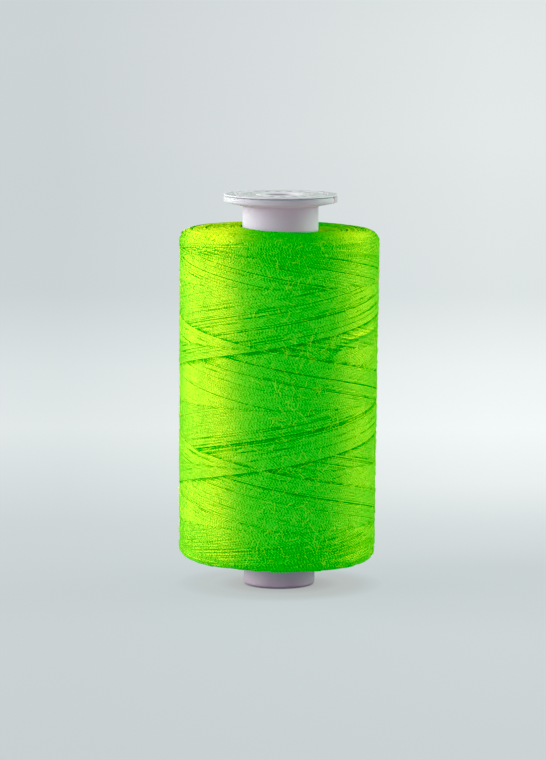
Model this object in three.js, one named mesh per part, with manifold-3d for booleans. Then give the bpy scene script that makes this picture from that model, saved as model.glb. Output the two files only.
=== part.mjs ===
// A spool of sewing thread: a moulded plastic spool with a snap cap on its flange, a paper label ring
// let into the cap, and one cross-wound package of thread on the barrel.
// Millimetres, +Z up along the spool's axis, origin at the centre of the foot's underside, -Y at the front.

import * as THREE from "three";
import { mergeVertices } from "three/addons/utils/BufferGeometryUtils.js";
import Module from "manifold-3d";

// Driving dimensions
const SPOOL_HEIGHT = 74.5;
const FLANGE_RADIUS = 10.75;
const NECK_RADIUS = 7.2;
const FOOT_RADIUS = 6.75;
const BARREL_INNER_RADIUS = 5.4;
const PIN_BORE_RADIUS = 3.6;
const GAP = 0.3;
const FACETS = 48;

// Flange and cap, measured down from the top
const CAP_RIM_THICKNESS = 0.45;
const CAP_PLUG_THICKNESS = 0.9;
const CAP_PLUG_RADIUS = 9;
const CAP_LIFT = 1.2;
const FLANGE_EDGE_DEPTH = 1.5;
const FLANGE_NECK_DEPTH = 2.2;
const FLANGE_TOP = SPOOL_HEIGHT - CAP_RIM_THICKNESS - GAP;
const RECESS_FLOOR = SPOOL_HEIGHT - CAP_PLUG_THICKNESS - GAP;
const LEDGE_BOTTOM = RECESS_FLOOR - 0.9;
const LEDGE_INNER_RADIUS = 4.55;
const EDGE_CHAMFER = 0.15;
const FOOT_CORNER = 0.7;

// Thread-catch notch in the flange's edge, at the right when seen from the front
const NOTCH_ANGLE = THREE.MathUtils.degToRad(-20);
const NOTCH_WIDTH = 0.8;
const NOTCH_DEPTH = 1.2;

// Four ribs inside the barrel that steady the machine's spool pin
const RIB_COUNT = 4;
const RIB_WIDTH = 0.9;
const RIB_INNER_RADIUS = 4.4;
const RIB_BOTTOM = 2;
const RIB_TOP = 66;

// The cap's split stem, its barbs and the keys that stop it turning
const STEM_OUTER_RADIUS = 4.25;
const BARB_RADIUS = 4.85;
const BARB_TOP = LEDGE_BOTTOM - CAP_LIFT - 0.05;
const BARB_HEIGHT = 1.3;
const STEM_BOTTOM = BARB_TOP - BARB_HEIGHT;
const STEM_TIP_RADIUS = 4;
const STEM_SLOTS = 4;
const SLOT_WIDTH = 1.2;
const KEY_WIDTH = SLOT_WIDTH - 2 * GAP;
const KEY_INNER_RADIUS = PIN_BORE_RADIUS + GAP;

// Label ring, in a shallow recess of the cap's top
const LABEL_INNER_RADIUS = 5;
const LABEL_OUTER_RADIUS = 8.6;
const LABEL_THICKNESS = 0.12;
const LABEL_RECESS = 0.15;

// Thread package
const PACKAGE_BOTTOM = 5.2;
const PACKAGE_TOP = 67.8;
const PACKAGE_BOTTOM_RADIUS = 18.5;
const PACKAGE_TOP_RADIUS = 18.8;
const PACKAGE_SHOULDER = 2;
const ARC_STEPS = 5;

const wasm = await Module();
wasm.setup();

// Points of an arc in the half-plane of a lathe profile, angles in degrees from the radial direction.
function arc(radius, height, bend, from, to) {
  return Array.from({ length: ARC_STEPS + 1 }, (_, step) => {
    const angle = THREE.MathUtils.degToRad(from + ((to - from) * step) / ARC_STEPS);
    return [radius + bend * Math.cos(angle), height + bend * Math.sin(angle)];
  });
}

// A ring turned about Z from a closed profile of [radius, height] points, listed anticlockwise.
function turned(profile) {
  const points = [...profile, profile[0]].map(([radius, height]) => new THREE.Vector2(radius, height));
  return new THREE.LatheGeometry(points, FACETS).rotateX(Math.PI / 2);
}

// A block whose inner end is at a radius, turned to an angle about Z.
function radialBlock(inner, outer, width, bottom, top, angle) {
  return new THREE.BoxGeometry(outer - inner, width, top - bottom)
    .translate((inner + outer) / 2, 0, (bottom + top) / 2)
    .rotateZ(angle);
}

function toSolid(geometry) {
  const bare = geometry.clone().deleteAttribute("normal").deleteAttribute("uv");
  const merged = mergeVertices(bare, 1e-4);
  return new wasm.Manifold(
    new wasm.Mesh({
      numProp: 3,
      vertProperties: merged.attributes.position.array,
      triVerts: new Uint32Array(merged.index.array),
    }),
  );
}

function toGeometry(solid) {
  const { vertProperties, triVerts } = solid.getMesh();
  const geometry = new THREE.BufferGeometry();
  geometry.setAttribute("position", new THREE.BufferAttribute(vertProperties, 3));
  geometry.setIndex(new THREE.BufferAttribute(triVerts, 1));
  geometry.computeVertexNormals();
  return geometry;
}

// The barrel's outside tapers evenly from the neck down to the foot.
function barrelRadius(height) {
  return THREE.MathUtils.mapLinear(height, 0, SPOOL_HEIGHT, FOOT_RADIUS, NECK_RADIUS);
}

function spoolShell() {
  const flangeEdgeBottom = SPOOL_HEIGHT - FLANGE_EDGE_DEPTH;
  const neckTop = SPOOL_HEIGHT - FLANGE_NECK_DEPTH;
  const recessRadius = CAP_PLUG_RADIUS + GAP;
  return turned([
    [BARREL_INNER_RADIUS, 0],
    ...arc(FOOT_RADIUS - FOOT_CORNER, FOOT_CORNER, FOOT_CORNER, -90, 0),
    [barrelRadius(neckTop), neckTop],
    [FLANGE_RADIUS - EDGE_CHAMFER, flangeEdgeBottom],
    [FLANGE_RADIUS, flangeEdgeBottom + EDGE_CHAMFER],
    [FLANGE_RADIUS, FLANGE_TOP - EDGE_CHAMFER],
    [FLANGE_RADIUS - EDGE_CHAMFER, FLANGE_TOP],
    [recessRadius, FLANGE_TOP],
    [recessRadius, RECESS_FLOOR],
    [LEDGE_INNER_RADIUS, RECESS_FLOOR],
    [LEDGE_INNER_RADIUS, LEDGE_BOTTOM],
    [BARREL_INNER_RADIUS, LEDGE_BOTTOM],
  ]);
}

function spoolBody() {
  const overlap = 0.5;
  let body = toSolid(spoolShell());
  for (let index = 0; index < RIB_COUNT; index++) {
    const angle = (index + 0.5) * ((2 * Math.PI) / RIB_COUNT);
    const root = BARREL_INNER_RADIUS + overlap;
    const rib = radialBlock(RIB_INNER_RADIUS, root, RIB_WIDTH, RIB_BOTTOM, RIB_TOP, angle);
    body = body.add(toSolid(rib));
  }
  for (const angle of [0, Math.PI]) {
    const root = LEDGE_INNER_RADIUS + overlap;
    const key = radialBlock(KEY_INNER_RADIUS, root, KEY_WIDTH, LEDGE_BOTTOM, RECESS_FLOOR, angle);
    body = body.add(toSolid(key));
  }
  const notch = radialBlock(
    FLANGE_RADIUS - NOTCH_DEPTH,
    FLANGE_RADIUS + 1,
    NOTCH_WIDTH,
    SPOOL_HEIGHT - FLANGE_NECK_DEPTH - 1,
    SPOOL_HEIGHT,
    NOTCH_ANGLE,
  );
  return toGeometry(body.subtract(toSolid(notch)));
}

function capShell() {
  const rimBottom = SPOOL_HEIGHT - CAP_RIM_THICKNESS;
  const plugBottom = SPOOL_HEIGHT - CAP_PLUG_THICKNESS;
  const labelFloor = SPOOL_HEIGHT - LABEL_RECESS;
  return turned([
    [PIN_BORE_RADIUS, STEM_BOTTOM],
    [STEM_TIP_RADIUS, STEM_BOTTOM],
    [BARB_RADIUS, BARB_TOP - BARB_HEIGHT / 4],
    [BARB_RADIUS, BARB_TOP],
    [STEM_OUTER_RADIUS, BARB_TOP],
    [STEM_OUTER_RADIUS, plugBottom],
    [CAP_PLUG_RADIUS, plugBottom],
    [CAP_PLUG_RADIUS, rimBottom],
    [FLANGE_RADIUS - EDGE_CHAMFER / 2, rimBottom],
    [FLANGE_RADIUS, rimBottom + EDGE_CHAMFER / 2],
    [FLANGE_RADIUS, SPOOL_HEIGHT - EDGE_CHAMFER],
    [FLANGE_RADIUS - EDGE_CHAMFER, SPOOL_HEIGHT],
    [LABEL_OUTER_RADIUS + GAP, SPOOL_HEIGHT],
    [LABEL_OUTER_RADIUS + GAP, labelFloor],
    [LABEL_INNER_RADIUS - GAP, labelFloor],
    [LABEL_INNER_RADIUS - GAP, SPOOL_HEIGHT],
    [PIN_BORE_RADIUS + GAP, SPOOL_HEIGHT],
    [PIN_BORE_RADIUS, SPOOL_HEIGHT - GAP],
  ]);
}

// The slots split the stem into legs that spring inwards through the ledge.
function snapCap() {
  const slotTop = SPOOL_HEIGHT - CAP_PLUG_THICKNESS;
  const slotBottom = STEM_BOTTOM - 1;
  const slotInner = PIN_BORE_RADIUS / 2;
  const slotOuter = BARB_RADIUS + 1;
  let cap = toSolid(capShell());
  for (let index = 0; index < STEM_SLOTS; index++) {
    const angle = index * ((2 * Math.PI) / STEM_SLOTS);
    const slot = radialBlock(slotInner, slotOuter, SLOT_WIDTH, slotBottom, slotTop, angle);
    cap = cap.subtract(toSolid(slot));
  }
  return toGeometry(cap);
}

function labelRing() {
  const bottom = SPOOL_HEIGHT - LABEL_RECESS;
  return turned([
    [LABEL_INNER_RADIUS, bottom],
    [LABEL_OUTER_RADIUS, bottom],
    [LABEL_OUTER_RADIUS, bottom + LABEL_THICKNESS],
    [LABEL_INNER_RADIUS, bottom + LABEL_THICKNESS],
  ]);
}

function threadPackage() {
  const bend = PACKAGE_SHOULDER;
  return turned([
    [barrelRadius(PACKAGE_BOTTOM) + GAP, PACKAGE_BOTTOM],
    ...arc(PACKAGE_BOTTOM_RADIUS - bend, PACKAGE_BOTTOM + bend, bend, -90, 0),
    ...arc(PACKAGE_TOP_RADIUS - bend, PACKAGE_TOP - bend, bend, 0, 90),
    [barrelRadius(PACKAGE_TOP) + GAP, PACKAGE_TOP],
  ]);
}

function namedMesh(name, geometry, color, roughness) {
  const mesh = new THREE.Mesh(geometry, new THREE.MeshStandardMaterial({ color, roughness, metalness: 0 }));
  mesh.name = name;
  return mesh;
}

const spool = new THREE.Group();
spool.add(namedMesh("spool_body", spoolBody(), 0xdedbe6, 0.4));
spool.add(namedMesh("thread_package", threadPackage(), 0x50e000, 0.85));

const cap = new THREE.Group();
cap.add(namedMesh("snap_cap", snapCap(), 0xe6e4ec, 0.4));
cap.add(namedMesh("label_ring", labelRing(), 0xe9e9ea, 0.7));

const group = new THREE.Group();
group.add(spool, cap);

export default group;
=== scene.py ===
"""A spool of neon green sewing thread: plastic mouldings and a package of thread laid strand by strand.

The thread is wound in code. Each traverse of the thread is laid on a height map of the package, over what
already lies there, and the stretches that stay visible become real strands.
"""

import math

import bmesh
import bpy
import numpy as np
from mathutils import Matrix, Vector


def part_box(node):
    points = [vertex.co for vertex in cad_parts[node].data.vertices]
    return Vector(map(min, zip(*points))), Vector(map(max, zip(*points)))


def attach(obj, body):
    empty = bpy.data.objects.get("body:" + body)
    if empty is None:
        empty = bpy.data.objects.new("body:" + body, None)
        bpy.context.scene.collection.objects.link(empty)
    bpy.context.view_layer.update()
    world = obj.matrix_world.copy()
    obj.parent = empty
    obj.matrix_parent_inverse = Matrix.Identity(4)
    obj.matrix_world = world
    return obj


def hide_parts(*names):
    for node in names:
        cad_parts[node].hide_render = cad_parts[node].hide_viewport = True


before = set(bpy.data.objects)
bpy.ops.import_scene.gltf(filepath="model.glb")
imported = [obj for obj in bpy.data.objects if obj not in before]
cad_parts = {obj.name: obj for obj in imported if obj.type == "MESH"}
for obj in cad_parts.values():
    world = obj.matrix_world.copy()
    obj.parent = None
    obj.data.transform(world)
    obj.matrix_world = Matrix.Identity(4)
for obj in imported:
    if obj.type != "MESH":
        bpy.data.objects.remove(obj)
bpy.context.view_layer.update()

# Sizes and places in metres: the boxes come from the frame, the details inside them from the object
MM = 0.001
body_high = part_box("spool_body")[1]
cap_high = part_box("snap_cap")[1]
label_low, label_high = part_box("label_ring")
package_low, package_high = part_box("thread_package")

HEIGHT = cap_high.z
GAP = 0.3 * MM
OVERLAP = 0.5 * MM          # how far ribs and keys reach into the wall that they stand on
PAST = 1 * MM               # how far a cutting block reaches past what it cuts
LATHE_STEPS = 180

# Cap moulding
CAP_RIM_THICKNESS = 0.28 * MM
CAP_JOINT_GAP = 0.06 * MM
CAP_PLUG_THICKNESS = 0.9 * MM
CAP_PLUG_RADIUS = 9 * MM
CAP_LIFT = 1.2 * MM
PIN_BORE_RADIUS = 3.6 * MM
LABEL_INNER_RADIUS = 5 * MM
STEM_RADIUS = 4.25 * MM
STEM_TIP_RADIUS = 4 * MM
BARB_RADIUS = 4.85 * MM
BARB_HEIGHT = 1.3 * MM
STEM_SLOTS = 4
SLOT_WIDTH = 1.2 * MM

# Spool moulding
FLANGE_RADIUS = body_high.x
NECK_RADIUS = 7.2 * MM
FOOT_RADIUS = 6.75 * MM
FOOT_CORNER = 0.7 * MM
BARREL_INNER_RADIUS = 5.4 * MM
FLANGE_EDGE_DEPTH = 1.5 * MM
FLANGE_NECK_DEPTH = 2.2 * MM
FLANGE_TOP = HEIGHT - CAP_RIM_THICKNESS - CAP_JOINT_GAP
RECESS_FLOOR = HEIGHT - CAP_PLUG_THICKNESS - GAP
LEDGE_BOTTOM = RECESS_FLOOR - 0.9 * MM
LEDGE_INNER_RADIUS = 4.55 * MM
RIB_COUNT = 4
RIB_WIDTH = 0.9 * MM
RIB_INNER_RADIUS = 4.4 * MM
RIB_BOTTOM = 2 * MM
RIB_TOP = 66 * MM
KEY_WIDTH = SLOT_WIDTH - 2 * GAP
KEY_INNER_RADIUS = PIN_BORE_RADIUS + GAP
NOTCH_ANGLE = math.radians(-20)
NOTCH_WIDTH = 0.8 * MM
NOTCH_DEPTH = 1.2 * MM

# Thread package
PACKAGE_BOTTOM = package_low.z
PACKAGE_TOP = package_high.z
MIDDLE = (PACKAGE_TOP + PACKAGE_BOTTOM) / 2
PACKAGE_TOP_RADIUS = package_high.x
PACKAGE_BOTTOM_RADIUS = PACKAGE_TOP_RADIUS - 0.3 * MM
SHOULDER = 2.0 * MM


# ---------------------------------------------------------------- camera, lights and view

CAMERA_LENS = 186
CAMERA_DISTANCE = 0.74
CAMERA_HEIGHT = 0.129
CAMERA_SIDE = -1.3 * MM
CAMERA_TARGET_HEIGHT = 0.0391
CAMERA_ROLL = math.radians(0.2)
WORLD_LIGHT = (0.60, 0.42, 0.63)
PAST_THE_FLOOR = (0.63, 0.665, 0.675)
BLACK_LEVEL = (0.055, 0, 0.015)     # the photo's darkest greens have no red and hardly any blue
LIGHTS = (                          # name, place, size, power, colour
    ("key_left", (-0.74, -0.21, 0.26), (0.4, 0.6), 6.1, (0.95, 0.96, 1.02)),
    ("rim_left", (-0.70, 0.34, 0.26), (0.4, 0.6), 6.0, (0.90, 1.0, 0.92)),
    ("rim_right", (0.70, 0.20, 0.35), (0.6, 0.6), 6.5, (0.74, 0.98, 0.78)),
    ("top_soft", (0.0, 0.35, 0.85), (0.6, 0.6), 1.5, (0.9, 1.0, 1.0)),
)


def aim(thing, target):
    """Turns a camera or a light to face the target."""
    direction = Vector(target) - thing.location
    thing.rotation_euler = direction.to_track_quat("-Z", "Y").to_euler()


def make_camera():
    data = bpy.data.cameras.new("camera")
    data.lens = CAMERA_LENS
    data.sensor_width = 36
    data.clip_start = 0.05
    data.clip_end = 20
    camera = bpy.data.objects.new("camera", data)
    bpy.context.scene.collection.objects.link(camera)
    camera.location = (CAMERA_SIDE, -CAMERA_DISTANCE, CAMERA_HEIGHT)
    aim(camera, (CAMERA_SIDE, 0, CAMERA_TARGET_HEIGHT))
    camera.rotation_euler.rotate_axis("Z", CAMERA_ROLL)
    bpy.context.scene.camera = camera


def area_light(name, place, size, power, colour):
    data = bpy.data.lights.new(name, "AREA")
    data.shape = "RECTANGLE"
    data.size, data.size_y = size
    data.energy = power
    data.color = colour
    light = bpy.data.objects.new(name, data)
    bpy.context.scene.collection.objects.link(light)
    light.location = place
    aim(light, (0, 0, HEIGHT / 2))


def make_lights():
    for name, place, size, power, colour in LIGHTS:
        area_light(name, place, size, power, colour)


def set_world():
    """Even light from all round, with a plain colour where the camera sees past the floor."""
    world = bpy.data.worlds.new("studio")
    world.cycles_visibility.glossy = False
    world.use_nodes = True
    tree = world.node_tree
    seen = tree.nodes.new("ShaderNodeMix")
    seen.data_type = "RGBA"
    seen.inputs["A"].default_value = (*WORLD_LIGHT, 1)
    seen.inputs["B"].default_value = (*PAST_THE_FLOOR, 1)
    tree.links.new(tree.nodes.new("ShaderNodeLightPath").outputs["Is Camera Ray"], seen.inputs["Factor"])
    tree.links.new(seen.outputs["Result"], tree.nodes["Background"].inputs["Color"])
    bpy.context.scene.world = world


def set_view():
    view = bpy.context.scene.view_settings
    view.view_transform = "Standard"
    view.use_curve_mapping = True
    view.curve_mapping.black_level = BLACK_LEVEL
    view.curve_mapping.update()


# ---------------------------------------------------------------- mesh helpers

def link(name, mesh):
    """Adds an object with this mesh to the scene."""
    piece = bpy.data.objects.new(name, mesh)
    bpy.context.scene.collection.objects.link(piece)
    return piece


def arc(radius, height, bend, start, end, steps=6):
    """Points of an arc in a turned profile's half-plane, angles in degrees from the radial direction."""
    angles = [math.radians(start + (end - start) * step / steps) for step in range(steps + 1)]
    return [(radius + bend * math.cos(a), height + bend * math.sin(a)) for a in angles]


def rounded(profile, bend, steps=3):
    """The closed profile with each corner replaced by a small round, so that edges catch the light."""
    points = []
    for index, (radius, height) in enumerate(profile):
        corner = Vector((radius, height))
        before = Vector(profile[index - 1]) - corner
        after = Vector(profile[(index + 1) % len(profile)]) - corner
        straight = before.length == 0 or after.length == 0 or before.angle(after) > math.radians(150)
        reach = min(bend, before.length * 0.4, after.length * 0.4)
        if straight or reach < 0.01 * MM:
            points.append((radius, height))
            continue
        start = corner + before.normalized() * reach
        end = corner + after.normalized() * reach
        for step in range(steps + 1):
            t = step / steps
            p = start * (1 - t) ** 2 + corner * 2 * t * (1 - t) + end * t ** 2
            points.append((p.x, p.y))
    return points


def turned(name, profile, steps=LATHE_STEPS):
    """A ring turned about Z from a closed profile of (radius, height) points, listed anticlockwise."""
    count = len(profile)
    vertices = []
    for turn in range(steps):
        angle = 2 * math.pi * turn / steps
        vertices += [(r * math.cos(angle), r * math.sin(angle), z) for r, z in profile]
    faces = []
    for turn in range(steps):
        here, there = turn * count, (turn + 1) % steps * count
        for point in range(count):
            after = (point + 1) % count
            faces.append((here + point, there + point, there + after, here + after))
    mesh = bpy.data.meshes.new(name)
    mesh.from_pydata(vertices, [], faces)
    return link(name, mesh)


def radial_block(inner, outer, width, bottom, top, angle):
    """A block whose inner end is at a radius, turned to an angle about Z."""
    mesh = bpy.data.meshes.new("block")
    made = bmesh.new()
    bmesh.ops.create_cube(made, size=1)
    for vertex in made.verts:
        x = (inner + outer) / 2 + vertex.co.x * (outer - inner)
        y = vertex.co.y * width
        z = (bottom + top) / 2 + vertex.co.z * (top - bottom)
        across = x * math.cos(angle) - y * math.sin(angle)
        along = x * math.sin(angle) + y * math.cos(angle)
        vertex.co = (across, along, z)
    made.to_mesh(mesh)
    made.free()
    return link("block", mesh)


def combine(piece, block, operation):
    """Joins the block to the piece or cuts it away, and removes the block."""
    modifier = piece.modifiers.new(operation, "BOOLEAN")
    modifier.operation = operation
    modifier.solver = "EXACT"
    modifier.object = block
    apply_modifiers(piece)
    bpy.data.objects.remove(block)


def apply_modifiers(piece):
    bpy.context.view_layer.update()
    evaluated = piece.evaluated_get(bpy.context.evaluated_depsgraph_get())
    mesh = bpy.data.meshes.new_from_object(evaluated)
    piece.modifiers.clear()
    piece.data = mesh


def smooth(piece, sharp_degrees=35):
    """Shades the piece smoothly, but for edges that turn by more than the angle."""
    piece.data.polygons.foreach_set("use_smooth", [True] * len(piece.data.polygons))
    piece.data.set_sharp_from_angle(angle=math.radians(sharp_degrees))


# ---------------------------------------------------------------- materials

class Paint:
    """A material being made, with short ways to add the nodes it needs."""

    def __init__(self, name):
        self.material = bpy.data.materials.new(name)
        self.material.use_nodes = True
        self.tree = self.material.node_tree
        self.place = self.node("TexCoord").outputs["Object"]

    def node(self, kind, **settings):
        node = self.tree.nodes.new("ShaderNode" + kind)
        for name, value in settings.items():
            setattr(node, name, value)
        return node

    def put(self, socket, value):
        """Joins another node's output to a socket, or sets the socket's own value."""
        if isinstance(value, bpy.types.NodeSocket):
            self.tree.links.new(value, socket)
        else:
            socket.default_value = value

    def calculate(self, operation, *values):
        node = self.node("Math", operation=operation)
        for socket, value in zip(node.inputs, values):
            self.put(socket, value)
        return node.outputs["Value"]

    def axes(self):
        node = self.node("SeparateXYZ")
        self.put(node.inputs["Vector"], self.place)
        return node.outputs

    def radius(self):
        """Distance from the spool's axis."""
        axes = self.axes()
        squares = [self.calculate("MULTIPLY", axes[axis], axes[axis]) for axis in "XY"]
        return self.calculate("SQRT", self.calculate("ADD", *squares))

    def band(self, value, middle, reach):
        """1 where the value lies within reach of the middle, and 0 elsewhere."""
        return self.calculate("COMPARE", value, middle, reach)

    def noise(self, scale, detail, place=None):
        node = self.node("TexNoise")
        self.put(node.inputs["Vector"], place or self.place)
        self.put(node.inputs["Scale"], scale)
        self.put(node.inputs["Detail"], detail)
        return node.outputs["Fac"]

    def attribute(self, name):
        return self.node("Attribute", attribute_name=name).outputs

    def openness(self, distance):
        """1 where nothing is near, towards 0 where the surroundings close in."""
        node = self.node("AmbientOcclusion", samples=16)
        self.put(node.inputs["Distance"], distance)
        return node.outputs["AO"]

    def ramp(self, value, stops):
        node = self.node("ValToRGB")
        while len(node.color_ramp.elements) < len(stops):
            node.color_ramp.elements.new(0.5)
        for element, (position, colour) in zip(node.color_ramp.elements, stops):
            element.position = position
            element.color = (*colour, 1)
        self.put(node.inputs["Fac"], value)
        return node.outputs["Color"]

    def bump(self, height, strength, distance):
        node = self.node("Bump")
        self.put(node.inputs["Height"], height)
        self.put(node.inputs["Strength"], strength)
        self.put(node.inputs["Distance"], distance)
        return node

    def finish(self, sockets):
        """Puts each named value on the surface shader and returns the material."""
        shader = self.tree.nodes["Principled BSDF"]
        for name, value in sockets.items():
            self.put(shader.inputs[name], value)
        return self.material


PLASTIC_OPENNESS_REACH = 12 * MM
FOOT_PAINTED_SHADE_HEIGHT = 1.4 * MM
FOOT_PAINTED_SHADE = 0.26           # painted shade: how much darker the plastic is made where it meets the floor
BORE_PAINTED_SHADE = 0.25           # and painted shade in the pin's bore
# Painted glow on the neck: emission standing in for light through its wall, strongest where the
# surroundings close in
NECK_PAINTED_GLOW = (0.22, 0.115, 0.19)
NECK_MIDDLE = FLANGE_TOP - 3.3 * MM
NECK_REACH = 3 * MM
# Painted shade: plastic colours by openness, darker and more magenta where the surroundings close in
SPOOL_PAINTED_SHADES = [
    (0.0, (0.20, 0.175, 0.18)),
    (0.1, (0.51, 0.40, 0.43)),
    (0.5, (0.46, 0.485, 0.505)),
    (0.92, (0.44, 0.48, 0.44)),
]
CAP_PAINTED_SHADES = [
    (0.05, (0.26, 0.27, 0.26)),
    (0.5, (0.52, 0.56, 0.52)),
    (0.92, (0.53, 0.57, 0.52)),
]


def moulded_plastic(name, painted_shades):
    """Injection-moulded plastic with cloudy patches, faint flow lines and a fine grain.

    Painted shade darkens it in its hollows, near the floor and in the pin's bore, and a painted glow on
    the neck stands in for light coming through its wall.
    """
    paint = Paint(name)
    axes = paint.axes()
    # painted shade: the base colour follows ambient occlusion
    openness = paint.openness(PLASTIC_OPENNESS_REACH)
    cloud = paint.noise(260, 3)
    patchy = paint.calculate("MULTIPLY_ADD", cloud, 0.12, -0.06)
    # painted shade at the foot, fading out over its lowest part
    above_floor = paint.calculate("MULTIPLY_ADD", axes["Z"], -FOOT_PAINTED_SHADE / FOOT_PAINTED_SHADE_HEIGHT, FOOT_PAINTED_SHADE)
    foot_painted_shade = paint.calculate("MAXIMUM", 0, above_floor)
    # painted shade in the pin's bore, added to the painted shade at the foot
    in_bore = paint.calculate("LESS_THAN", paint.radius(), PIN_BORE_RADIUS + 0.1 * MM)
    painted_foot_and_bore_shade = paint.calculate("MULTIPLY_ADD", in_bore, BORE_PAINTED_SHADE, foot_painted_shade)
    shade = paint.calculate("SUBTRACT", paint.calculate("ADD", openness, patchy), painted_foot_and_bore_shade)
    drawn_out = paint.node("Mapping")
    paint.put(drawn_out.inputs["Vector"], paint.place)
    paint.put(drawn_out.inputs["Scale"], (900, 900, 60))
    flow_lines = paint.noise(1, 2, drawn_out.outputs["Vector"])
    relief = paint.calculate("ADD", paint.noise(4200, 4), flow_lines)
    # painted glow: emission on the neck band, stronger where openness is low
    neck = paint.band(axes["Z"], NECK_MIDDLE, NECK_REACH)
    painted_glow_strength = paint.calculate("MULTIPLY_ADD", openness, -0.75, 1)
    return paint.finish({
        "Emission Color": (*NECK_PAINTED_GLOW, 1),
        "Emission Strength": paint.calculate("MULTIPLY", neck, painted_glow_strength),
        "Base Color": paint.ramp(shade, painted_shades),
        "Roughness": paint.calculate("MULTIPLY_ADD", cloud, 0.14, 0.41),
        "Specular IOR Level": 0.4,
        "Normal": paint.bump(relief, 0.25, 0.02 * MM).outputs["Normal"],
        "Subsurface Weight": 0.7,
        "Subsurface Radius": (2.6 * MM, 2.2 * MM, 2.6 * MM),
        "Subsurface Scale": 1.0,
    })


LABEL_TICKS = 20
TICK_SHARE = 0.42           # how much of each tick's place is inked
TICK_RING_RADIUS = 6.9 * MM
TICK_RING_REACH = 0.7 * MM
CIRCLE_RADII = (5.65 * MM, 8.2 * MM)
CIRCLE_REACH = 0.1 * MM
LABEL_SHADES = [
    (0.25, (0.26, 0.28, 0.25)),
    (0.75, (0.54, 0.58, 0.52)),
    (1, (0.60, 0.64, 0.58)),
]


def label_paper():
    """Coated white paper with a plain ring of grey ticks between two thin circles."""
    paint = Paint("label_paper")
    axes = paint.axes()
    turned_by = paint.calculate("ARCTAN2", axes["Y"], axes["X"])
    ticks = paint.calculate("MULTIPLY", turned_by, LABEL_TICKS / math.tau)
    tick = paint.calculate("LESS_THAN", paint.calculate("FRACT", ticks), TICK_SHARE)
    radius = paint.radius()
    printed = paint.calculate("MULTIPLY", tick, paint.band(radius, TICK_RING_RADIUS, TICK_RING_REACH))
    circles = [paint.band(radius, middle, CIRCLE_REACH) for middle in CIRCLE_RADII]
    ink = paint.calculate("ADD", printed, paint.calculate("ADD", *circles))
    fibres = paint.noise(2500, 5)
    clean = paint.calculate("MULTIPLY_ADD", fibres, 0.3, 0.65)
    return paint.finish({
        "Base Color": paint.ramp(paint.calculate("MULTIPLY_ADD", ink, -0.5, clean), LABEL_SHADES),
        "Roughness": 0.6,
        "Normal": paint.bump(fibres, 0.3, 0.01 * MM).outputs["Normal"],
    })


PLY_TONE = 0.13             # how much each of these changes the thread's tone: its plies,
FLECK_TONE = 0.72           # its single fibres,
MOTTLE_TONE = 0.14          # the patches of the package
GROOVE_SHADE_TONE = -0.72         # and painted shade by depth in the winding
PLY_SWAY = 8                # how unevenly the plies follow each other, in radians
# Painted glow: emission that brightens the thread under any light, also where it is shaded
PAINTED_GLOW = 0.68
FUZZ_SOFTENING = 2.2        # how far the thread's fuzz hides the roundness of each strand
# Colours by tone: the thread's dye, with the darkest stops carrying the painted groove shade
DYE_AND_GROOVE_SHADE = [
    (0.20, (0, 0.18, 0)),
    (0.42, (0, 0.42, 0.012)),
    (0.58, (0.0, 0.53, 0.024)),
    (0.90, (0.07, 0.64, 0.036)),
]
# The core's thread is coloured darker than the strands: painted shade for the bulk seen deep in the gaps
CORE_DYE_AND_SHADE = [(0.2, (0, 0.10, 0)), (0.6, (0, 0.24, 0.005))]
# Stray fibres are coloured paler and yellower than the strands: painted highlight for the light they catch
FIBRE_DYE_AND_HIGHLIGHT = [(0.2, (0.16, 0.56, 0.02)), (0.6, (0.30, 0.68, 0.05))]
SHINE = [
    (0.18, (0.05, 0.30, 0)),
    (0.46, (0.76, 0.38, 0.010)),
    (0.80, (0.90, 0.40, 0.016)),
]


def thread_tone(paint):
    """How pale the thread is, 0.5 on average: by ply, by fibre, by patch, and darker by painted shade
    where it lies deep in the winding.
    """
    twist = paint.calculate("MULTIPLY_ADD", paint.noise(650, 2), PLY_SWAY, paint.attribute("twist")["Fac"])
    start = 0.5 - (FLECK_TONE + MOTTLE_TONE) / 2
    plies = paint.calculate("MULTIPLY_ADD", paint.calculate("SINE", twist), PLY_TONE, start)
    flecks = paint.calculate("MULTIPLY_ADD", paint.noise(4200, 1), FLECK_TONE, plies)
    mottled = paint.calculate("MULTIPLY_ADD", paint.noise(420, 3), MOTTLE_TONE, flecks)
    return paint.calculate("MULTIPLY_ADD", paint.attribute("groove_shade")["Fac"], GROOVE_SHADE_TONE, mottled)


def fuzzy_normal(paint):
    """The strand's own normal turned towards the package's, as its fuzz softens the shading across it."""
    softened = paint.node("VectorMath", operation="MULTIPLY_ADD")
    paint.put(softened.inputs[0], paint.attribute("outward")["Vector"])
    paint.put(softened.inputs[1], (FUZZ_SOFTENING,) * 3)
    paint.put(softened.inputs[2], paint.node("NewGeometry").outputs["Normal"])
    facing = paint.node("VectorMath", operation="NORMALIZE")
    paint.put(facing.inputs[0], softened.outputs["Vector"])
    return facing.outputs["Vector"]


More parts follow.
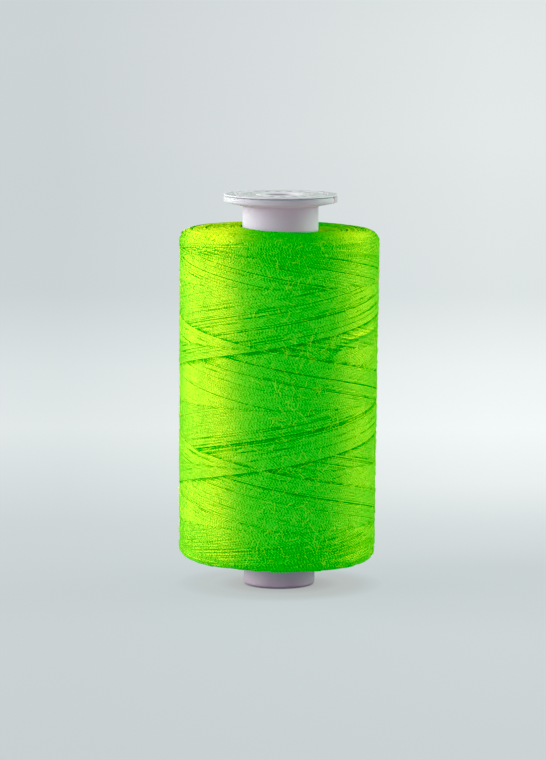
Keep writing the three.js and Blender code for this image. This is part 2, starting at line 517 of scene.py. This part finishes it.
def thread_material(name, dye_and_shade_stops=DYE_AND_GROOVE_SHADE):
    """Neon polyester thread with a painted glow and painted groove shade: green where it is dark, yellower
    and shinier where it is pale.
    """
    paint = Paint(name)
    tone = thread_tone(paint)
    dye_and_shade = paint.ramp(tone, dye_and_shade_stops)
    shine = paint.ramp(tone, SHINE)
    relief = paint.bump(tone, 0.4, 0.08 * MM)
    paint.put(relief.inputs["Normal"], fuzzy_normal(paint))
    return paint.finish({
        "Base Color": dye_and_shade,
        "Emission Color": dye_and_shade,
        "Emission Strength": PAINTED_GLOW,
        "Normal": relief.outputs["Normal"],
        "Roughness": 0.44,
        "IOR": 2.4,
        "Specular IOR Level": 1.0,
        "Specular Tint": shine,
        "Sheen Weight": 0.5,
        "Sheen Roughness": 0.5,
        "Sheen Tint": shine,
    })


# ---------------------------------------------------------------- plastic mouldings

def barrel_radius(height):
    """The barrel's outside, which tapers evenly from the neck down to the foot."""
    return FOOT_RADIUS + (NECK_RADIUS - FOOT_RADIUS) * height / HEIGHT


def finish_moulding(piece, material):
    """Shades the piece smoothly and gives it one material, in place of any that its cutting left."""
    smooth(piece)
    piece.data.materials.clear()
    piece.data.materials.append(material)


def make_spool_body(material):
    neck_top = HEIGHT - FLANGE_NECK_DEPTH
    edge_bottom = HEIGHT - FLANGE_EDGE_DEPTH
    recess = CAP_PLUG_RADIUS + GAP
    outline = [
        (BARREL_INNER_RADIUS, 0),
        *arc(FOOT_RADIUS - FOOT_CORNER, FOOT_CORNER, FOOT_CORNER, -90, 0, 8),
        (barrel_radius(neck_top), neck_top),
        (FLANGE_RADIUS, edge_bottom),
        (FLANGE_RADIUS, FLANGE_TOP),
        (recess, FLANGE_TOP),
        (recess, RECESS_FLOOR),
        (LEDGE_INNER_RADIUS, RECESS_FLOOR),
        (LEDGE_INNER_RADIUS, LEDGE_BOTTOM),
        (BARREL_INNER_RADIUS, LEDGE_BOTTOM),
    ]
    body = turned("spool_moulding", rounded(outline, 0.25 * MM))
    rib_root = BARREL_INNER_RADIUS + OVERLAP
    for rib in range(RIB_COUNT):
        angle = (rib + 0.5) * math.tau / RIB_COUNT
        block = radial_block(RIB_INNER_RADIUS, rib_root, RIB_WIDTH, RIB_BOTTOM, RIB_TOP, angle)
        combine(body, block, "UNION")
    key_root = LEDGE_INNER_RADIUS + OVERLAP
    for angle in (0, math.pi):
        key = radial_block(KEY_INNER_RADIUS, key_root, KEY_WIDTH, LEDGE_BOTTOM, RECESS_FLOOR, angle)
        combine(body, key, "UNION")
    inner, outer = FLANGE_RADIUS - NOTCH_DEPTH, FLANGE_RADIUS + PAST
    notch = radial_block(inner, outer, NOTCH_WIDTH, neck_top - PAST, HEIGHT, NOTCH_ANGLE)
    combine(body, notch, "DIFFERENCE")
    finish_moulding(body, material)
    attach(body, "spool")
    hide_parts("spool_body")


def make_cap(material):
    barb_top = LEDGE_BOTTOM - CAP_LIFT - 0.05 * MM
    stem_bottom = barb_top - BARB_HEIGHT
    plug_bottom = HEIGHT - CAP_PLUG_THICKNESS
    rim_bottom = HEIGHT - CAP_RIM_THICKNESS
    recess_outer = label_high.x + GAP
    recess_inner = LABEL_INNER_RADIUS - GAP
    outline = [
        (PIN_BORE_RADIUS, stem_bottom),
        (STEM_TIP_RADIUS, stem_bottom),
        (BARB_RADIUS, barb_top - BARB_HEIGHT / 4),
        (BARB_RADIUS, barb_top),
        (STEM_RADIUS, barb_top),
        (STEM_RADIUS, plug_bottom),
        (CAP_PLUG_RADIUS, plug_bottom),
        (CAP_PLUG_RADIUS, rim_bottom),
        (FLANGE_RADIUS, rim_bottom),
        (FLANGE_RADIUS, HEIGHT),
        (recess_outer, HEIGHT),
        (recess_outer, label_low.z),
        (recess_inner, label_low.z),
        (recess_inner, HEIGHT),
        (PIN_BORE_RADIUS + GAP, HEIGHT),
        (PIN_BORE_RADIUS, HEIGHT - GAP),
    ]
    cap = turned("cap_moulding", rounded(outline, 0.12 * MM))
    slot_outer = BARB_RADIUS + PAST
    slot_bottom = stem_bottom - PAST
    for slot in range(STEM_SLOTS):
        angle = slot * math.tau / STEM_SLOTS
        block = radial_block(PIN_BORE_RADIUS / 2, slot_outer, SLOT_WIDTH, slot_bottom, plug_bottom, angle)
        combine(cap, block, "DIFFERENCE")
    finish_moulding(cap, material)
    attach(cap, "cap")
    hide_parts("snap_cap")


def make_label(material):
    outline = [
        (LABEL_INNER_RADIUS, label_low.z),
        (label_high.x, label_low.z),
        (label_high.x, label_high.z),
        (LABEL_INNER_RADIUS, label_high.z),
    ]
    label = turned("label_paper_ring", rounded(outline, 0.04 * MM, 2))
    finish_moulding(label, material)
    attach(label, "cap")
    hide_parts("label_ring")


# ---------------------------------------------------------------- the wound thread

LEAD = 22.6 * MM            # rise of one turn
TRAVERSE_TURNS = 2.967      # turns from one end of the package to the other
LAYS_PER_COVER = 85         # there-and-back lays that cover the package once
COVERS = 2.2                # how deep the visible winding is laid
LAY_NOISE = 0.06            # how far each lay strays from its place, in strands
APEX = 69.5 * MM            # where a lay would turn back if its turn were sharp
TURN_BACK = 0.35            # turns over which the thread guide turns back
TURN_DRAWN_IN = (0.6, 1.9)  # mm by which a lay's turn slips in from an end, least and most
LAY_WAVER = 0.03 * MM       # how far a lay wavers up and down on its way
LAST_LAY_ANGLE = math.radians(-12)
GAP_FADE = 4                # mm of height over which a gap opens and closes
GAPS = (                    # falling, lays before the last, strands wide, from and to which height in mm
    (True, 4, 0.4, 45, 70),
    (True, 14, 0.85, 45, 70),
    (True, 25, 0.6, 45, 70),
    (True, 21, 0.7, 18, 40),
    (False, 11, 0.85, 0, 80),
    (False, 19, 0.5, 0, 66),
    (False, 31, 0.35, 55, 80),
    (False, 39, 0.5, 0, 66),
)

STRAND = 0.26 * MM          # thickness of the thread as laid
STRAND_WIDTH = 0.31 * MM    # the strands flatten against each other
STRAND_DEPTH = 0.21 * MM
STRAND_SIDES = 6
SQUEEZE = 0.07 * MM         # how far a strand sinks into those under it
SHALLOW = 0.1 * MM          # differences of level up to this are halved as the strands settle
DEEPEST = -0.4 * MM
HIGHEST = 0.1 * MM
RELIEF_REACH = 0.45 * MM    # how far a strand's surroundings count for its painted groove shade
GROOVE_SHADE_FROM = 0.06 * MM     # depth at which a strand starts to get painted groove shade
GROOVE_SHADE_OVER = 0.12 * MM     # and over how much more depth that shade becomes full
USUAL_GROOVE_SHADE = 0.12       # painted groove shade that a strand gets where the winding's relief isn't followed,
FOLLOWED_FROM = 3 * MM      # which is up to here from an end of the package,
FOLLOWED_OVER = 5 * MM      # fading over this height

PATH_STEP = 0.3 * MM
RING_EVERY = 4              # path points between two rings of a strand
SMOOTHED_OVER = 7           # path points that level and depth are averaged over
MAP_TURNS = 640
MAP_ROWS = 1400
MAP_ROW = (PACKAGE_TOP - PACKAGE_BOTTOM + 1 * MM) / MAP_ROWS
MAP_HEIGHTS = PACKAGE_BOTTOM - 0.5 * MM + MAP_ROW * np.arange(MAP_ROWS)

TWIST_PITCH = 0.56 * MM
TWIST_LEAN = 0.62 * MM      # how far across the strands the plies' pattern repeats

PACKAGE_SHIFTS = (-0.50 * MM, -0.15 * MM)   # the package's bottom and top sit a little aside of the axis
PACKAGE_LEANS = (-0.016, -0.006)            # and a little askew on the barrel
TOP_LEAN_BACK = 0.010                       # the upper half rises a little towards the back
ENDS = [PACKAGE_BOTTOM, PACKAGE_TOP]


def package_radius(height):
    """The package's outline, with rounded shoulders."""
    wall = np.interp(height, ENDS, [PACKAGE_BOTTOM_RADIUS, PACKAGE_TOP_RADIUS])
    over = np.clip(height - (PACKAGE_TOP - SHOULDER), 0, SHOULDER)
    under = np.clip(PACKAGE_BOTTOM + SHOULDER - height, 0, SHOULDER)
    inset = np.maximum(over, under)
    return wall - SHOULDER + np.sqrt(SHOULDER ** 2 - inset ** 2)


def guide_height(turns, drawn_in):
    """Height of the thread guide after so many turns down from the top, its turns rounded at both ends."""
    half = TURN_BACK / 2
    from_top = np.where(turns < half, (turns ** 2 + half ** 2) / (2 * half), turns)
    left = TRAVERSE_TURNS - turns
    from_bottom = np.where(left < half, (left ** 2 + half ** 2) / (2 * half), left)
    travel = np.where(turns < TRAVERSE_TURNS / 2, from_top, TRAVERSE_TURNS - from_bottom)
    height = APEX - travel * LEAD
    near_end = np.clip(np.abs(height - MIDDLE) / (PACKAGE_TOP - MIDDLE) * 7 - 6, 0, 1)
    return height - np.sign(height - MIDDLE) * near_end * drawn_in


def lay_offsets(rng, lays):
    """How many turns each lay is shifted round the package from the last one."""
    return (np.arange(1 - lays, 1) + LAY_NOISE * rng.standard_normal(lays)) / LAYS_PER_COVER


def gap_shift(falling, age, height):
    """How many turns further back a lay is held by the gaps laid after it, at each height."""
    shift = np.zeros(len(height))
    for gap_falling, gap_age, width, low, high in GAPS:
        if gap_falling == falling and gap_age <= age:
            above = np.clip((height / MM - low) / GAP_FADE, 0, 1)
            below = np.clip((high - height / MM) / GAP_FADE, 0, 1)
            shift += width * above * below / LAYS_PER_COVER
    return shift


def smoothed(values):
    """The values averaged over their neighbours along a path."""
    ends_kept = np.pad(values, SMOOTHED_OVER // 2, mode="edge")
    return np.convolve(ends_kept, np.ones(SMOOTHED_OVER) / SMOOTHED_OVER, "valid")


def lay_thread(rng):
    """Lays each traverse of the thread on a height map of the package, over what already lies there.

    Returns the paths, the map of radii and the map of which path lies on top.
    """
    outline = package_radius(np.clip(MAP_HEIGHTS, *ENDS))
    surface = np.repeat(outline[None, :], MAP_TURNS, 0)
    owner = np.full((MAP_TURNS, MAP_ROWS), -1, int)
    half = math.ceil(STRAND / 2 / MAP_ROW)
    spread = np.arange(-half, half + 1)
    crown = np.sqrt(np.maximum((STRAND / 2) ** 2 - (spread * MAP_ROW) ** 2, 0))

    lays = int(LAYS_PER_COVER * COVERS)
    offsets = {falling: lay_offsets(rng, lays) for falling in (False, True)}
    turns = np.arange(0, TRAVERSE_TURNS, PATH_STEP / (math.tau * PACKAGE_TOP_RADIUS))
    knots = np.linspace(0, TRAVERSE_TURNS, 10)
    paths = []
    for lay in range(lays):
        for falling in (False, True):
            height = guide_height(turns, rng.uniform(*TURN_DRAWN_IN) * MM)
            height = height + LAY_WAVER * np.interp(turns, knots, rng.standard_normal(len(knots)))
            direction = 1 if falling else -1
            behind = gap_shift(falling, lays - 1 - lay, height)
            angle = LAST_LAY_ANGLE + math.tau * (offsets[falling][lay] - behind - direction * turns)
            column = (angle / math.tau * MAP_TURNS).astype(int) % MAP_TURNS
            middle = ((height - MAP_HEIGHTS[0]) / MAP_ROW).round().astype(int)
            cells = (column[:, None], middle[:, None] + spread)
            radius = smoothed((surface[cells] + crown).max(1)) - SQUEEZE
            stamp = radius[:, None] + crown
            higher = stamp > surface[cells]
            surface[cells] = np.where(higher, stamp, surface[cells])
            owner[cells] = np.where(higher, len(paths), owner[cells])
            path = {"angle": angle, "height": height, "radius": radius}
            paths.append({**path, "cells": cells, "falling": falling})
    return paths, surface, owner


def settle(paths, surface, owner):
    """Draws each path back to the package's outline, and marks what shows and how much painted groove
    shade it gets.
    """
    outline = package_radius(np.clip(MAP_HEIGHTS, *ENDS))
    rise = surface.mean(0) - outline
    reach = round(RELIEF_REACH / MAP_ROW)
    relief = np.pad(surface - outline - rise, ((0, 0), (reach, reach)), mode="edge")
    envelope = np.lib.stride_tricks.sliding_window_view(relief, 2 * reach + 1, axis=1).max(2)
    for index, path in enumerate(paths):
        height, cells = path["height"], path["cells"]
        outside = package_radius(height)
        level = path["radius"] - np.interp(height, MAP_HEIGHTS, rise) - outside
        depth = envelope[cells].mean(1) - level - STRAND / 2
        groove_shade = np.clip((depth - GROOVE_SHADE_FROM) / GROOVE_SHADE_OVER, 0, 1)
        to_end = np.minimum(PACKAGE_TOP - height, height - PACKAGE_BOTTOM)
        followed = np.clip((to_end - FOLLOWED_FROM) / FOLLOWED_OVER, 0, 1)
        settled = np.where(level > -SHALLOW, level / 2, level + SHALLOW / 2)
        path["groove_shade"] = smoothed(groove_shade * followed + USUAL_GROOVE_SHADE * (1 - followed))
        path["radius"] = outside + np.clip(settled, DEEPEST, HIGHEST)
        path["visible"] = (owner[cells] == index).any(1)


TAIL_START = math.radians(26)
TAIL_KNEE = math.radians(42)
TAIL_END = math.radians(88)
TAIL_KNEE_HEIGHT = 48.5 * MM
TAIL_CLIMB = 18 * MM        # per radian, up to the knee
TAIL_DRIFT = 2.9 * MM       # per radian, past it
TAIL_RISE = 0.50 * MM


def tucked_tail(angle, height):
    """Height of the soft ridge where the thread's end is tucked under the outer strands, at the right.

    It climbs steeply from its start to a knee, and then runs on almost level.
    """
    past_knee = angle > TAIL_KNEE
    slope = np.where(past_knee, TAIL_DRIFT, TAIL_CLIMB)
    ridge = TAIL_KNEE_HEIGHT + (angle - TAIL_KNEE) * slope
    away = (height - ridge) * np.where(past_knee, 1.0, 0.55)
    ends = np.clip((angle - TAIL_START) / 0.12, 0, 1) * np.clip((TAIL_END - angle) / 0.5, 0, 1)
    flank = np.where(away > 0, 0.30, 0.55) * MM
    return TAIL_RISE * np.exp(-(away / flank) ** 2) * ends


def wall_direction(angle, height):
    """The direction that faces out of the package's wall, tilted where the tucked tail lifts it."""
    step = 0.1 * MM
    turn = step / PACKAGE_TOP_RADIUS
    climb = (tucked_tail(angle, height + step) - tucked_tail(angle, height - step)) / (2 * step)
    swing = (tucked_tail(angle + turn, height) - tucked_tail(angle - turn, height)) / (2 * step)
    x = np.sin(angle) - swing * np.cos(angle)
    y = -np.cos(angle) - swing * np.sin(angle)
    return np.stack([x, y, -climb], -1)


def to_points(angle, height, radius):
    """Cylinder coordinates, with angle 0 at the front and growing to the right, to points."""
    shift = np.interp(height, ENDS, PACKAGE_SHIFTS)
    lean = np.interp(height, ENDS, PACKAGE_LEANS)
    lean_back = np.interp(height, [MIDDLE, PACKAGE_TOP], [0, TOP_LEAN_BACK])
    x = radius * np.sin(angle)
    y = -radius * np.cos(angle)
    return np.stack([x + shift, y, height + lean * x + lean_back * y], -1)


def strand_mesh(name, runs, width, depth, sides, material):
    """One mesh of closed tubes.

    Each run has its points and, at each point, the direction out of the package, the phase of the twist,
    its painted groove shade and the direction its fuzz faces.
    """
    ring_angles = np.arange(sides) * math.tau / sides
    here = np.arange(sides)
    after = (here + 1) % sides
    vertices, twists, outwards, groove_shades, loops, sizes = [], [], [], [], [], []
    base = 0
    for points, outward, twist, groove_shade, fuzzy in runs:
        along = np.gradient(points, axis=0)
        along /= np.linalg.norm(along, axis=1, keepdims=True)
        side = np.cross(along, outward)
        side /= np.linalg.norm(side, axis=1, keepdims=True)
        up = np.cross(side, along)
        across = side[:, None] * (np.cos(ring_angles) * width / 2)[None, :, None]
        above = up[:, None] * (np.sin(ring_angles) * depth / 2)[None, :, None]
        vertices.append((points[:, None] + across + above).reshape(-1, 3))
        twists.append(np.repeat(twist, sides))
        outwards.append(np.repeat(fuzzy, sides, 0))
        groove_shades.append(np.repeat(groove_shade, sides))
        count = len(points)
        first = (base + np.arange(count - 1) * sides)[:, None]
        quads = np.stack([first + here, first + after, first + sides + after, first + sides + here], -1)
        loops += [quads.ravel(), base + here[::-1], base + (count - 1) * sides + here]
        sizes += [np.full((count - 1) * sides, 4), [sides, sides]]
        base += count * sides
    piece = mesh_from_arrays(name, np.concatenate(vertices), np.concatenate(loops), np.concatenate(sizes))
    for attribute, parts in (("twist", twists), ("groove_shade", groove_shades)):
        values = piece.data.attributes.new(attribute, "FLOAT", "POINT")
        values.data.foreach_set("value", np.concatenate(parts).astype(np.float32))
    outward_values = piece.data.attributes.new("outward", "FLOAT_VECTOR", "POINT")
    outward_values.data.foreach_set("vector", np.concatenate(outwards).astype(np.float32).ravel())
    piece.data.materials.append(material)
    return piece


def mesh_from_arrays(name, vertices, loops, sizes):
    mesh = bpy.data.meshes.new(name)
    mesh.vertices.add(len(vertices))
    mesh.vertices.foreach_set("co", vertices.astype(np.float32).ravel())
    mesh.loops.add(len(loops))
    mesh.loops.foreach_set("vertex_index", loops.astype(np.int32))
    mesh.polygons.add(len(sizes))
    starts = np.concatenate([[0], np.cumsum(sizes)[:-1]])
    mesh.polygons.foreach_set("loop_start", starts.astype(np.int32))
    mesh.polygons.foreach_set("use_smooth", np.ones(len(sizes), bool))
    mesh.update(calc_edges=True)
    return link(name, mesh)


def finish_thread(piece):
    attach(piece, "spool")
    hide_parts("thread_package")


def lay_twist(angle, height, falling):
    """Phase of the plies' twist, in step from strand to strand so that the plies line up across them."""
    slope = math.atan(LEAD / (math.tau * PACKAGE_TOP_RADIUS)) * (1 if falling else -1)
    round_package = angle * PACKAGE_TOP_RADIUS
    along = round_package * math.cos(slope) + height * math.sin(slope)
    across = height * math.cos(slope) - round_package * math.sin(slope)
    return math.tau * (along / TWIST_PITCH + across / TWIST_LEAN)


def visible_runs(path, rng):
    """The stretches of one lay that show, each with a little of the hidden strand at its ends."""
    margin = 2 * RING_EVERY
    grown = np.convolve(path["visible"], np.ones(2 * margin + 1), "same") > 0
    edges = np.flatnonzero(np.diff(np.concatenate([[0], grown.astype(int), [0]])))
    phase = rng.normal(0, 0.8)
    for start, end in zip(edges[::2], edges[1::2]):
        picks = np.arange(start, end, RING_EVERY)
        if len(picks) < 3:
            continue
        angle, height = path["angle"][picks], path["height"][picks]
        front_angle = (angle + math.pi) % math.tau - math.pi
        radius = path["radius"][picks] + tucked_tail(front_angle, height)
        twist = lay_twist(angle, height, path["falling"]) + phase
        outward = wall_direction(front_angle, height)
        yield to_points(angle, height, radius), outward, twist, path["groove_shade"][picks], outward


def make_strands(rng, material):
    paths, surface, owner = lay_thread(rng)
    settle(paths, surface, owner)
    for name, falling in (("thread_rising", False), ("thread_falling", True)):
        runs = [run for path in paths if path["falling"] == falling for run in visible_runs(path, rng)]
        piece = strand_mesh(name, runs, STRAND_WIDTH, STRAND_DEPTH, STRAND_SIDES, material)
        finish_thread(piece)


CORE_INSET = 0.33 * MM


def make_core(material):
    """The solid bulk of thread under the visible strands."""
    heights = np.linspace(PACKAGE_BOTTOM + 0.2 * MM, PACKAGE_TOP - 0.2 * MM, 60)
    outside = [(float(package_radius(height)) - CORE_INSET, float(height)) for height in heights]
    inner = NECK_RADIUS + 0.25 * MM
    core = turned("thread_core", [(inner, heights[0]), *outside, (inner, heights[-1])])
    for vertex in core.data.vertices:
        radius = math.hypot(vertex.co.x, vertex.co.y)
        angle = math.atan2(vertex.co.x, -vertex.co.y)
        vertex.co = to_points(angle, vertex.co.z, radius)
    smooth(core, 60)
    core.data.materials.append(material)
    finish_thread(core)


def end_outline(travel, inner, outer, end, sign):
    """Radius, height and outward direction along an end face, round the shoulder and on down the wall."""
    flat = outer - SHOULDER - inner
    bend = np.clip((travel - flat) / SHOULDER, 0, math.pi / 2)
    radius = inner + np.minimum(travel, flat) + SHOULDER * np.sin(bend)
    down = SHOULDER * (1 - np.cos(bend)) + np.clip(travel - flat - SHOULDER * math.pi / 2, 0, None)
    return radius, end - sign * down, np.sin(bend), sign * np.cos(bend)


END_PITCH = 0.25 * MM       # distance between the turns of an end's spiral
END_TUCK = 1.2 * MM         # how far the spiral runs on under the wall's strands
END_WAVER = 0.08 * MM       # how far the spiral wavers in and out
END_SINK = 0.09 * MM        # how far its strands lie under the outline, give or take END_UNEVEN
END_UNEVEN = 0.05 * MM
END_DIVE = 0.15 * MM        # how much deeper they go where they run on under the wall
END_FUZZ = 3                # how far an end's shading is that of the wall, and not of the flat
HEAP = 0.17 * MM            # how much higher the top end stands at the neck
HEAP_TILT = 0.40 * MM       # and how much more so at the left
HEAP_REACH = 9 * MM


def make_ends(rng, material):
    """The turned-back strands that close each end of the package and its shoulder, as one long spiral."""
    ends = (
        ("thread_top_end", PACKAGE_TOP, PACKAGE_TOP_RADIUS, 1),
        ("thread_bottom_end", PACKAGE_BOTTOM, PACKAGE_BOTTOM_RADIUS, -1),
    )
    inner = NECK_RADIUS + GAP
    for name, end, outer, sign in ends:
        length = outer - SHOULDER - inner + SHOULDER * math.pi / 2 + END_TUCK
        angle = np.arange(0, length / END_PITCH * math.tau, 0.06)
        knots = np.linspace(0, angle[-1], int(length / END_PITCH * 5))
        travel = angle / math.tau * END_PITCH
        travel = travel + END_WAVER * np.interp(angle, knots, rng.standard_normal(len(knots)))
        travel = np.clip(travel, 0, None)
        radius, height, out, up = end_outline(travel, inner, outer, end, sign)
        sink = END_SINK + END_UNEVEN * np.interp(angle, knots, rng.standard_normal(len(knots)))
        sink = sink + END_DIVE * np.clip((travel - length) / END_TUCK + 1, 0, 1)
        if sign > 0:
            height = height + heaped(angle, radius - inner)
        outward = np.stack([out * np.sin(angle), -out * np.cos(angle), up], -1)
        points = to_points(angle, height, radius) - outward * sink[:, None]
        twist = math.tau * angle * radius / TWIST_PITCH
        # the ends get the usual painted groove shade all over
        run = (points, outward, twist, 0 * angle + USUAL_GROOVE_SHADE, end_fuzz(angle, radius / outer, up))
        piece = strand_mesh(name, [run], STRAND_WIDTH, STRAND_DEPTH, STRAND_SIDES, material)
        finish_thread(piece)


def heaped(angle, from_neck):
    """How much higher the top end stands close to the neck, most at the left."""
    nearness = np.clip(1 - from_neck / HEAP_REACH, 0, 1)
    return (HEAP - HEAP_TILT * np.sin(angle)) * nearness


def end_fuzz(angle, outness, up):
    """The direction an end's fuzz faces, close to that of the wall, as the fuzz stands up all over."""
    far_side = np.clip(-2 * np.cos(angle), 0, 1)
    aside = np.sin(angle) * outness ** (1 - 0.6 * far_side)
    return END_FUZZ * np.stack([aside, -np.sqrt(1 - np.minimum(aside ** 2, 1)), 0.15 * up], -1)


STRAY_FIBRES = 4200
FIBRE_THICKNESS = 0.065 * MM
FIBRE_LENGTHS = (0.6, 2.4)  # mm, least and most
FIBRE_RISES = (0.02, 0.25)  # mm that a fibre stands off the outline, least and most
FIBRE_POINTS = 7


def make_fuzz(rng, material):
    """Short stray fibres that stand off the strands."""
    steps = np.linspace(0, 1, FIBRE_POINTS)
    low, high = PACKAGE_BOTTOM + 0.3 * MM, PACKAGE_TOP - 0.3 * MM
    runs = []
    for _ in range(STRAY_FIBRES):
        length = rng.uniform(*FIBRE_LENGTHS) * MM
        heading = rng.uniform(0, math.tau) + rng.normal(0, 1.6) * steps
        stride = length / (FIBRE_POINTS - 1)
        across = np.concatenate([[0], np.cumsum(np.cos(heading[1:]))]) * stride
        rise = np.concatenate([[0], np.cumsum(np.sin(heading[1:]))]) * stride
        start = rng.uniform(PACKAGE_BOTTOM + 0.5 * MM, PACKAGE_TOP - 0.5 * MM)
        height = np.clip(start + rise, low, high)
        stand_off = rng.uniform(*FIBRE_RISES) * MM * np.sin(math.pi * steps * rng.uniform(0.6, 1.0))
        radius = package_radius(height) + stand_off
        angle = rng.uniform(-math.pi, math.pi) + across / PACKAGE_TOP_RADIUS
        outward = np.stack([np.sin(angle), -np.cos(angle), np.zeros(len(angle))], -1)
        runs.append((to_points(angle, height, radius), outward, 0 * angle, 0 * angle, outward))
    piece = strand_mesh("thread_stray_fibres", runs, FIBRE_THICKNESS, FIBRE_THICKNESS, 3, material)
    finish_thread(piece)


# ---------------------------------------------------------------- floor

FLOOR_REACH = 10            # metres to each side, to the front and, by the last slope, to the back
FLOOR_NEAREST = 0.2         # metres from the camera within which the floor's fan stays as wide
FLOOR_SLOPES = np.concatenate([[0.60, 0.45, 0.32], np.linspace(0.25, 0.012, 120)])
FLOOR_FAN = (-0.3, -0.15, -0.10, -0.055, 0, 0.055, 0.10, 0.15, 0.3)
GLOW_SPREAD = 0.11          # share of the distance over which the left glow turns into the right glow
GLOW_STOPS = (              # slope of the sight line, then the floor's glow at the left and at the right
    (0.012, 0.63, 0.75),
    (0.034, 0.635, 0.78),
    (0.059, 0.63, 0.79),
    (0.099, 0.59, 0.715),
    (0.118, 0.68, 0.82),
    (0.134, 0.72, 0.86),
    (0.148, 0.64, 0.78),
    (0.159, 0.58, 0.65),
    (0.170, 0.565, 0.575),
    (0.187, 0.56, 0.59),
    (0.215, 0.55, 0.57),
)
FLOOR_TINTS = [             # by how strongly the floor glows
    (0.43, (1.05, 1.0, 1.02)),
    (0.55, (0.95, 1.0, 1.025)),
    (0.80, (0.955, 1.0, 0.985)),
]
CONTACT_REACH = 5.9 * MM    # how close to the spool the floor's painted contact shadow starts
CONTACT_SOFTNESS = 0.7
CONTACT_PAINTED_SHADOW = 0.3         # what share of its light the floor keeps under its painted contact shadow, right under the spool


def floor_rows():
    """Depth and sight-line slope of each row of the floor, from the front to the back."""
    rows = [(CAMERA_HEIGHT / slope - CAMERA_DISTANCE, slope) for slope in FLOOR_SLOPES]
    return [(-FLOOR_REACH, FLOOR_SLOPES[0]), *rows]


def make_floor():
    """A pale flat floor that runs far behind the spool, its light rising and falling with distance."""
    slopes, left, right = zip(*GLOW_STOPS)
    vertices, glow = [], []
    for depth, slope in floor_rows():
        away = max(depth + CAMERA_DISTANCE, FLOOR_NEAREST)
        at_left = np.interp(slope, slopes, left)
        at_right = np.interp(slope, slopes, right)
        for side in (-FLOOR_REACH, *(fan * away for fan in FLOOR_FAN), FLOOR_REACH):
            vertices.append((side, depth, 0))
            rightness = np.clip(side / away / GLOW_SPREAD + 0.5, 0, 1)
            glow.append(at_left * (1 - rightness) + at_right * rightness)
    columns = len(FLOOR_FAN) + 2
    faces = []
    for first in range(len(vertices) - columns):
        if (first + 1) % columns:
            faces.append((first, first + 1, first + columns + 1, first + columns))
    mesh = bpy.data.meshes.new("floor")
    mesh.from_pydata(vertices, [], faces)
    mesh.attributes.new("glow", "FLOAT", "POINT").data.foreach_set("value", glow)
    mesh.materials.append(floor_material())
    floor = link("floor", mesh)
    floor.visible_diffuse = False
    floor.visible_glossy = False


def floor_material():
    """A matt floor that glows by its glow attribute, with a painted contact shadow close under the spool.
    """
    paint = Paint("floor")
    # painted contact shadow: the floor's glow is dimmed by ambient occlusion
    open_share = paint.calculate("POWER", paint.openness(CONTACT_REACH), CONTACT_SOFTNESS)
    shade = paint.calculate("MULTIPLY_ADD", open_share, 1 - CONTACT_PAINTED_SHADOW, CONTACT_PAINTED_SHADOW)
    lit = paint.calculate("MULTIPLY", paint.attribute("glow")["Fac"], shade)
    return paint.finish({
        "Base Color": (0.05, 0.052, 0.053, 1),
        "Roughness": 0.9,
        "Specular IOR Level": 0.1,
        "Emission Color": paint.ramp(lit, FLOOR_TINTS),
        "Emission Strength": lit,
    })


make_camera()
make_lights()
set_world()
set_view()
make_floor()

rng = np.random.default_rng(20)
make_spool_body(moulded_plastic("spool_plastic", SPOOL_PAINTED_SHADES))
make_cap(moulded_plastic("cap_plastic", CAP_PAINTED_SHADES))
make_label(label_paper())

thread = thread_material("thread")
make_strands(rng, thread)
# the core gets the darker colour: painted shade
make_core(thread_material("thread_core", CORE_DYE_AND_SHADE))
make_ends(rng, thread_material("thread_end"))
make_fuzz(rng, thread_material("thread_fibre", FIBRE_DYE_AND_HIGHLIGHT))
